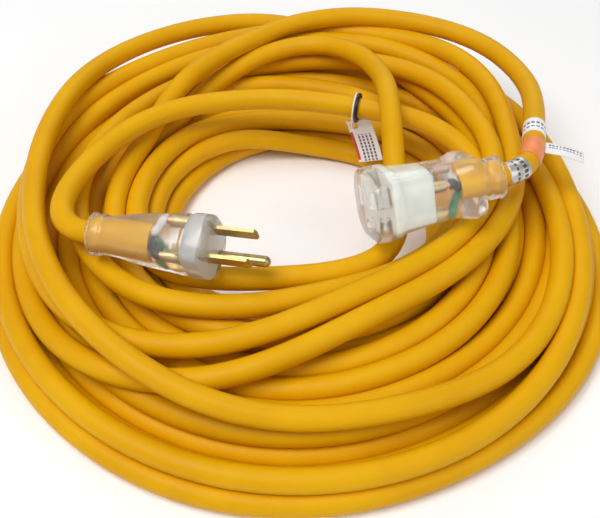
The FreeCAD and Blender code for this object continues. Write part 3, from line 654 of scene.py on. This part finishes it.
def card_grid(width, length, cell):
    """Flat card in cells, X across it and Y along it, from its own corner."""
    form = bmesh.new()
    columns, rows = round(width / cell), round(length / cell)
    made = bmesh.ops.create_grid(form, x_segments=columns, y_segments=rows, size=0.5)["verts"]
    place = Matrix.Diagonal((width, length, 1, 1)) @ Matrix.Translation((0.5, 0.5, 0))
    bmesh.ops.transform(form, matrix=place, verts=made)
    return form


def print_dashes(form, rows, start, end, pitch, share, index):
    """Ink for rows of dashes that run along Y, at places across X."""
    for face in form.faces:
        x, y, _ = face.calc_center_median()
        in_row = any(low < x < high for low, high in rows)
        if in_row and start < y < end and (y % pitch) < share * pitch:
            face.material_index = index


def bend_card(form, start, radius):
    """Curl the part of a card past one place along Y downwards, to a radius."""
    for vertex in form.verts:
        past = vertex.co.y - start
        if past > 0:
            angle = past / radius
            drop = vertex.co.z
            vertex.co.y = start + (radius + drop) * math.sin(angle)
            vertex.co.z = (radius + drop) * math.cos(angle) - radius


# Which of a printed piece's finishes a face has: its film or card is 0.
INK = 1
BAND_INK = 2

FLAG_CENTRE = 0.03625           # arc length from the connector's rear
FLAG_WIDTH = 0.0095
FLAG_REACH = 0.0180
FLAG_DROOP = math.radians(1.0)
FLAG_CELL = 0.00038
FLAG_ROWS = ((0.0050, 0.0058), (0.0070, 0.0078))
FLAG_PRINT = (0.0012, 0.0168)   # from and to, along the flag
FLAG_DASH = (0.0016, 0.66)      # pitch, and share of it that is ink
FLAG_BEND_START = 0.006
FLAG_BEND_RADIUS = 0.040
CARD_THICKNESS = 0.0004


def make_flag(path):
    """Flag label that stands out from the lead, with two lines of dashes."""
    centre, beyond = path_between(path, FLAG_CENTRE, 0.001, 0.001)
    along = (beyond - centre).normalized()
    level = along.cross(UP).normalized()
    outward = Quaternion(along, FLAG_DROOP) @ level
    upward = along.cross(outward) * -1
    root = centre + outward * (CORD_RADIUS + LABEL_THICKNESS) - along * (FLAG_WIDTH / 2)
    form = card_grid(FLAG_WIDTH, FLAG_REACH, FLAG_CELL)
    print_dashes(form, FLAG_ROWS, *FLAG_PRINT, *FLAG_DASH, INK)
    bend_card(form, FLAG_BEND_START, FLAG_BEND_RADIUS)
    place = Matrix((along, outward, upward)).transposed().to_4x4()
    bmesh.ops.transform(form, matrix=Matrix.Translation(root) @ place, verts=form.verts)
    flag = add_piece("flag_label_film", form)
    thicken(flag, CARD_THICKNESS)
    return flag


# ---- tie and tag -----------------------------------------------------------------------------
TIE_CENTRE = Vector((0.0290, 0.0450, 0.0432))
TIE_ALONG = Vector((0.967333, -0.253508, 0.0))
TIE_WIRE_RADIUS = 0.00095
TIE_ROUND = 0.00645
TIE_DROP = 0.0004
STRING_RADIUS = 0.0004
STRING_ROUND = 0.0071
STRING_DROP = 0.0045
STRING_ASIDE = -0.0014          # along the cord, from the tie
TAG_WIDTH = 0.0130
TAG_LENGTH = 0.0255
TAG_HOLE_EDGE = 0.0034
TAG_HOLE_RADIUS = 0.0021
TAG_TILT = math.radians(20.0)
TAG_CELL = 0.0005
TAG_BAND_ROW = (0.0, 0.0015)
TAG_BAND = (0.0070, 0.0240)     # from and to, down the tag
TAG_ROWS = tuple((start, start + 0.0008) for start in (0.0035, 0.0055, 0.0075, 0.0095))
TAG_PRINT = (0.0090, 0.0250)
TAG_DASH = (0.0020, 0.7)
UNBROKEN = (1.0, 1.0)           # a dash longer than any card
TAG_BEND_START = 0.010
TAG_BEND_RADIUS = 0.060
PUNCH_SEGMENTS = 32
PUNCH_DEPTH = 0.004
LOOP_STEP = 10                  # degrees between the points of a loop's rounds
LOOP_ROUND_STEPS = 4


def make_loop(name, centre, round_radius, drop, wire_radius):
    """Closed oval loop of wire or string that hangs round the plug's lead."""
    down = -UP
    across = TIE_ALONG.cross(down)
    angles = [math.radians(step) for step in range(0, 180, LOOP_STEP)]
    upper = [centre - across * round_radius * math.cos(a) - down * round_radius * math.sin(a)
             for a in angles]
    low = centre + down * drop
    lower = [low + across * round_radius * math.cos(a) + down * round_radius * math.sin(a)
             for a in angles]
    curve = bpy.data.curves.new(name, "CURVE")
    curve.dimensions = "3D"
    curve.bevel_depth = wire_radius
    curve.bevel_resolution = LOOP_ROUND_STEPS
    spline = curve.splines.new("NURBS")
    route = upper + lower
    spline.points.add(len(route) - 1)
    for point, place in zip(spline.points, route):
        point.co = (*place, 1.0)
    spline.order_u = 3
    spline.use_cyclic_u = True
    loop = bpy.data.objects.new(name, curve)
    bpy.context.scene.collection.objects.link(loop)
    return loop


def make_tag():
    """Card on the tie, curled a little, with a red band and lines of dashes."""
    down = -UP
    across = TIE_ALONG.cross(down)
    tilt = Quaternion(across, -TAG_TILT)
    along, hang = tilt @ TIE_ALONG, tilt @ down
    hole = TIE_CENTRE + down * (STRING_DROP + STRING_ROUND) + TIE_ALONG * STRING_ASIDE
    corner = hole - (along + hang) * TAG_HOLE_EDGE
    form = card_grid(TAG_WIDTH, TAG_LENGTH, TAG_CELL)
    print_dashes(form, [TAG_BAND_ROW], *TAG_BAND, *UNBROKEN, BAND_INK)
    print_dashes(form, TAG_ROWS, *TAG_PRINT, *TAG_DASH, INK)
    bend_card(form, TAG_BEND_START, TAG_BEND_RADIUS)
    place = Matrix((along, hang, across)).transposed().to_4x4()
    bmesh.ops.transform(form, matrix=Matrix.Translation(corner) @ place, verts=form.verts)
    tag = add_piece("tag_card", form)
    thicken(tag, CARD_THICKNESS)
    form = bmesh.new()
    made = bmesh.ops.create_cone(form, cap_ends=True, segments=PUNCH_SEGMENTS,
                                 radius1=TAG_HOLE_RADIUS, radius2=TAG_HOLE_RADIUS,
                                 depth=PUNCH_DEPTH)["verts"]
    bmesh.ops.transform(form, matrix=Matrix.Translation(hole) @ place, verts=made)
    bmesh.ops.recalc_face_normals(form, faces=form.faces)
    carve(tag, [add_piece("punch", form)])
    return tag


# ---- materials -------------------------------------------------------------------------------
def finish(name, light, dark, tone_scale, roughness, grain_scale, grain_depth, **settings):
    """Material whose colour, gloss and fine surface vary a little over the piece."""
    material = bpy.data.materials.new(name)
    material.use_nodes = True
    nodes, links = material.node_tree.nodes, material.node_tree.links
    shader = nodes["Principled BSDF"]
    for socket, value in settings.items():
        shader.inputs[socket.replace("_", " ")].default_value = value
    coords = nodes.new("ShaderNodeTexCoord")
    tone = nodes.new("ShaderNodeTexNoise")
    tone.inputs["Scale"].default_value = tone_scale
    tone.inputs["Detail"].default_value = 3.0
    ramp = nodes.new("ShaderNodeValToRGB")
    ramp.color_ramp.elements[0].position = 0.35
    ramp.color_ramp.elements[0].color = (*dark, 1.0)
    ramp.color_ramp.elements[1].position = 0.65
    ramp.color_ramp.elements[1].color = (*light, 1.0)
    grain = nodes.new("ShaderNodeTexNoise")
    grain.inputs["Scale"].default_value = grain_scale
    grain.inputs["Detail"].default_value = 4.0
    gloss = nodes.new("ShaderNodeMapRange")
    gloss.inputs["To Min"].default_value = roughness[0]
    gloss.inputs["To Max"].default_value = roughness[1]
    bump = nodes.new("ShaderNodeBump")
    bump.inputs["Strength"].default_value = 0.5
    bump.inputs["Distance"].default_value = grain_depth
    links.new(coords.outputs["Object"], tone.inputs["Vector"])
    links.new(coords.outputs["Object"], grain.inputs["Vector"])
    links.new(tone.outputs["Fac"], ramp.inputs["Fac"])
    links.new(ramp.outputs["Color"], shader.inputs["Base Color"])
    links.new(tone.outputs["Fac"], gloss.inputs["Value"])
    links.new(gloss.outputs["Result"], shader.inputs["Roughness"])
    links.new(grain.outputs["Fac"], bump.inputs["Height"])
    links.new(bump.outputs["Normal"], shader.inputs["Normal"])
    return material


def clear_vinyl():
    """Hazy clear vinyl: glass with a soft, slightly rippled surface and a faint warm tint."""
    material = bpy.data.materials.new("clear_vinyl")
    material.use_nodes = True
    nodes, links = material.node_tree.nodes, material.node_tree.links
    shader = nodes["Principled BSDF"]
    shader.inputs["Base Color"].default_value = (0.970, 0.955, 0.945, 1.0)
    shader.inputs["Roughness"].default_value = 0.23
    shader.inputs["IOR"].default_value = 1.42
    shader.inputs["Transmission Weight"].default_value = 0.92
    shader.inputs["Coat Weight"].default_value = 0.35
    shader.inputs["Coat Roughness"].default_value = 0.12
    coords = nodes.new("ShaderNodeTexCoord")
    ripple = nodes.new("ShaderNodeTexNoise")
    ripple.inputs["Scale"].default_value = 160.0
    bump = nodes.new("ShaderNodeBump")
    bump.inputs["Strength"].default_value = 0.25
    bump.inputs["Distance"].default_value = 0.0004
    links.new(coords.outputs["Object"], ripple.inputs["Vector"])
    links.new(ripple.outputs["Fac"], bump.inputs["Height"])
    links.new(bump.outputs["Normal"], shader.inputs["Normal"])
    return material


MATERIALS = {
    "yellow_jacket": finish("yellow_jacket", (0.77, 0.405, 0.0015), (0.71, 0.350, 0.001), 26.0,
                            (0.38, 0.54), 900.0, 0.00012, Specular_IOR_Level=0.14),
    # Lit copy of the yellow jacket, for its ends inside the clear mouldings: painted brighter to
    # stand in for the light that the clear vinyl around them holds back.
    "jacket_painted_brighter_in_moulding": finish("jacket_painted_brighter_in_moulding", (0.80, 0.43, 0.001), (0.74, 0.38, 0.001),
                                 26.0, (0.5, 0.6), 900.0, 0.00008, Specular_IOR_Level=0.1),
    "clear_vinyl": clear_vinyl(),
    "pale_nylon": finish("pale_nylon", (0.92, 0.95, 0.89), (0.84, 0.90, 0.83), 120.0,
                         (0.35, 0.5), 1500.0, 0.00005),
    "frosted_bridge": finish("frosted_bridge", (0.96, 0.96, 0.94), (0.90, 0.91, 0.88), 120.0,
                             (0.35, 0.5), 1500.0, 0.00005, Transmission_Weight=0.52, IOR=1.46),
    "brass": finish("brass", (0.58, 0.47, 0.23), (0.44, 0.35, 0.15), 240.0, (0.26, 0.42), 2600.0,
                    0.00003, Metallic=1.0),
    "copper": finish("copper", (0.86, 0.44, 0.26), (0.60, 0.28, 0.15), 700.0, (0.25, 0.4), 3000.0,
                     0.00006, Metallic=1.0),
    "black_core": finish("black_core", (0.030, 0.030, 0.034), (0.016, 0.016, 0.018), 200.0,
                         (0.3, 0.45), 1800.0, 0.00004),
    "white_core": finish("white_core", (0.86, 0.86, 0.84), (0.78, 0.78, 0.75), 200.0,
                         (0.3, 0.45), 1800.0, 0.00004),
    "green_core": finish("green_core", (0.040, 0.30, 0.12), (0.025, 0.22, 0.085), 200.0,
                         (0.3, 0.45), 1800.0, 0.00004),
    "lamp_glass": finish("lamp_glass", (0.95, 0.70, 0.55), (0.90, 0.60, 0.45), 200.0,
                         (0.05, 0.1), 900.0, 0.00002, Transmission_Weight=0.6),
    "resistor_lacquer": finish("resistor_lacquer", (0.60, 0.45, 0.26), (0.48, 0.35, 0.19), 400.0,
                               (0.25, 0.4), 2000.0, 0.00003),
    "tinned_wire": finish("tinned_wire", (0.74, 0.74, 0.75), (0.6, 0.6, 0.61), 500.0,
                          (0.2, 0.35), 2500.0, 0.00002, Metallic=1.0),
    "silver_foil": finish("silver_foil", (0.80, 0.78, 0.76), (0.48, 0.47, 0.44), 330.0,
                          (0.24, 0.42), 1400.0, 0.00010, Metallic=0.55),
    "orange_film": finish("orange_film", (0.93, 0.30, 0.10), (0.86, 0.24, 0.065), 180.0,
                          (0.3, 0.45), 420.0, 0.00050),
    "white_film": finish("white_film", (0.93, 0.93, 0.92), (0.87, 0.87, 0.86), 160.0,
                         (0.3, 0.45), 900.0, 0.00008),
    "label_ink": finish("label_ink", (0.050, 0.060, 0.14), (0.035, 0.042, 0.10), 500.0,
                        (0.4, 0.5), 2500.0, 0.00002),
    "foil_ink": finish("foil_ink", (0.11, 0.13, 0.08), (0.06, 0.07, 0.05), 500.0, (0.4, 0.5),
                       2500.0, 0.00002),
    "red_ink": finish("red_ink", (0.62, 0.060, 0.035), (0.52, 0.045, 0.03), 500.0, (0.4, 0.5),
                      2500.0, 0.00002),
    "black_wire": finish("black_wire", (0.022, 0.021, 0.021), (0.012, 0.011, 0.011), 400.0,
                         (0.35, 0.5), 1800.0, 0.00005),
    "card": finish("card", (0.90, 0.87, 0.86), (0.83, 0.79, 0.79), 90.0, (0.45, 0.6), 1600.0,
                   0.00005),
}
NODE_FINISHES = {
    "plug_jacket_end": "jacket_painted_brighter_in_moulding", "connector_jacket_end": "jacket_painted_brighter_in_moulding",
    "plug_bridge": "frosted_bridge",
    "line_blade": "brass", "neutral_blade": "brass", "ground_pin": "brass",
    "line_contact": "brass", "neutral_contact": "brass", "ground_contact": "brass",
    "plug_copper_ends": "copper", "connector_copper_ends": "copper",
    "plug_line_core": "black_core", "connector_line_core": "black_core",
    "plug_neutral_core": "white_core", "connector_neutral_core": "white_core",
    "plug_ground_core": "green_core", "connector_ground_core": "green_core",
    "indicator_lamp": "lamp_glass", "lamp_resistor": "resistor_lacquer",
    "lamp_leads": "tinned_wire",
}


# ---- studio ----------------------------------------------------------------------------------
ROOM_LIGHT = 0.27
ROOM_SEEN = 0.92                # how bright the surround itself looks, also through clear vinyl
FLOOR_REACH = 3.0
FLOOR_DROP = 0.0002             # keeps the floor's face off the cord's underside
# Name, place, size and power.
LAMPS = [
    ("key", (-0.45, -0.35, 1.3), 0.9, 15.0),
    ("fill", (1.0, -0.8, 0.9), 1.0, 4.5),
    ("back", (0.2, 1.3, 1.0), 1.0, 4.5),
]


def make_surround():
    """White surround that lights the part softly and looks brighter than it lights."""
    world = bpy.data.worlds.new("surround")
    world.use_nodes = True
    nodes, links = world.node_tree.nodes, world.node_tree.links
    background = nodes["Background"]
    background.inputs["Color"].default_value = (1, 1, 1, 1)
    ray = nodes.new("ShaderNodeLightPath")
    seen = nodes.new("ShaderNodeMath")
    seen.operation = "MAXIMUM"
    strength = nodes.new("ShaderNodeMapRange")
    strength.inputs["To Min"].default_value = ROOM_LIGHT
    strength.inputs["To Max"].default_value = ROOM_SEEN
    links.new(ray.outputs["Is Camera Ray"], seen.inputs[0])
    links.new(ray.outputs["Is Transmission Ray"], seen.inputs[1])
    links.new(seen.outputs["Value"], strength.inputs["Value"])
    links.new(strength.outputs["Result"], background.inputs["Strength"])
    return world


def make_studio():
    """Pale floor, three soft lamps and the surround."""
    mesh = bpy.data.meshes.new("floor")
    form = bmesh.new()
    bmesh.ops.create_grid(form, x_segments=1, y_segments=1, size=FLOOR_REACH)
    form.to_mesh(mesh)
    form.free()
    floor = bpy.data.objects.new("floor", mesh)
    floor.location.z = -FLOOR_DROP
    bpy.context.scene.collection.objects.link(floor)
    mesh.materials.append(finish("pale_floor", (0.98, 0.98, 0.98), (0.96, 0.96, 0.96), 3.0,
                                 (0.85, 0.95), 60.0, 0.0001))
    for name, place, size, power in LAMPS:
        data = bpy.data.lights.new(name, "AREA")
        data.size = size
        data.energy = power
        lamp = bpy.data.objects.new(name, data)
        lamp.location = place
        lamp.rotation_euler = (-Vector(place)).to_track_quat("-Z", "Y").to_euler()
        bpy.context.scene.collection.objects.link(lamp)
    bpy.context.scene.world = make_surround()
    bpy.context.scene.view_settings.view_transform = "Standard"


# ---- putting it together ---------------------------------------------------------------------
def settle_in(piece, body, slot, materials, *nodes):
    """Give a piece its finishes, its body, and the CAD nodes that it stands for."""
    for material in materials:
        piece.data.materials.append(MATERIALS[material])
    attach(piece, body)
    if nodes:
        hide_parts(*nodes)


make_camera()
cord = make_cord()
settle_in(cord, "cord", "jacket", ["yellow_jacket"], "cable_coil", "plug_lead", "connector_lead")

plug_moulding = add_placed("plug_moulding", lofted(PLUG_SECTIONS), PLUG_PLACE)
settle_in(plug_moulding, "cord", "clear_vinyl", ["clear_vinyl"], "plug_body")
connector_moulding = add_placed("connector_moulding", lofted(CONNECTOR_SECTIONS), CONNECTOR_PLACE)
carve_socket(connector_moulding, MOULDING_BORE_RADIUS)
settle_in(connector_moulding, "cord", "clear_vinyl", ["clear_vinyl"], "connector_body")
carrier, carrier_ribs = make_carrier()
settle_in(carrier, "cord", "pale_nylon", ["pale_nylon"], "contact_carrier")
settle_in(carrier_ribs, "cord", "pale_nylon", ["pale_nylon"])

connector_path = lead_path(CONNECTOR_LEAD)
for name, slot, materials in (
    ("silver_label", "silver_film", ["silver_foil", "foil_ink"]),
    ("orange_label", "orange_film", ["orange_film"]),
    ("white_label", "white_film", ["white_film", "label_ink"]),
):
    label = wrap_label(name, connector_path)
    settle_in(label, "cord", slot, materials, name)
flag = make_flag(connector_path)
settle_in(flag, "cord", "white_film", ["white_film", "label_ink"], "flag_label")
tie = make_loop("tie", TIE_CENTRE, TIE_ROUND, TIE_DROP, TIE_WIRE_RADIUS)
settle_in(tie, "tag", "black_wire", ["black_wire"], "tie_loop")
string = make_loop("tag_string", TIE_CENTRE + TIE_ALONG * STRING_ASIDE, STRING_ROUND, STRING_DROP,
                   STRING_RADIUS)
settle_in(string, "tag", "card", ["white_film"])
tag = make_tag()
settle_in(tag, "tag", "card", ["card", "label_ink", "red_ink"], "hang_tag")

for node, material in NODE_FINISHES.items():
    for place in bpy.data.objects[node].material_slots:
        place.material = MATERIALS[material]

make_studio()
